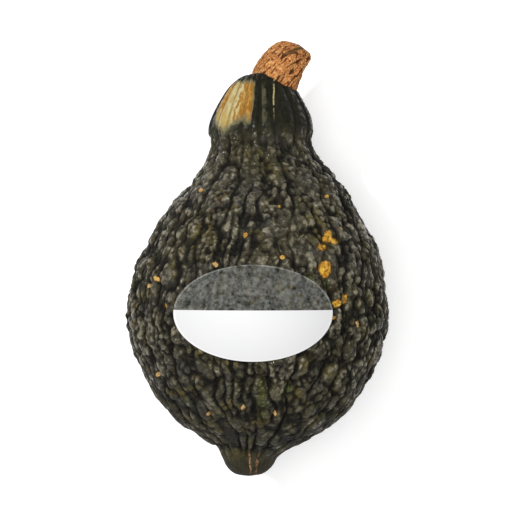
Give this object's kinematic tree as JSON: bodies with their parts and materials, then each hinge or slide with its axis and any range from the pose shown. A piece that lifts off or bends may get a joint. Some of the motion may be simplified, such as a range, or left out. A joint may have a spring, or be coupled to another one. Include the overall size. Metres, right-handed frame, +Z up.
{
  "type": "hubbard squash",
  "caption": "Whole warty winter squash lying on its side, pear-shaped with a ribbed crown, corky stem, blossom nipple and a blank oval sticker.",
  "frame": {"origin": "on the ground under the middle of the object's bounding box", "axes": "+Y along the squash from the blossom nipple to the stem, +Z up to the side that carries the sticker, +X to the right as seen from above with the stem at the top"},
  "size_m": [0.1801, 0.2992, 0.1718],
  "materials": {
    "rind": "dark olive-grey to near-black green rind with a satin sheen, tightly warty, with a few amber and cream warts and a golden-cream patch on the crown",
    "cork": "dry fibrous tan-orange cork with pale ridges and brown crevices, matte",
    "sticker_paper": "smooth matt white lower half and milky grey see-through upper half, with nothing printed on it"
  },
  "bodies": {
    "root": {"fruit": "rind", "stem": "cork", "sticker": "sticker_paper"}
  },
  "joints": []
}
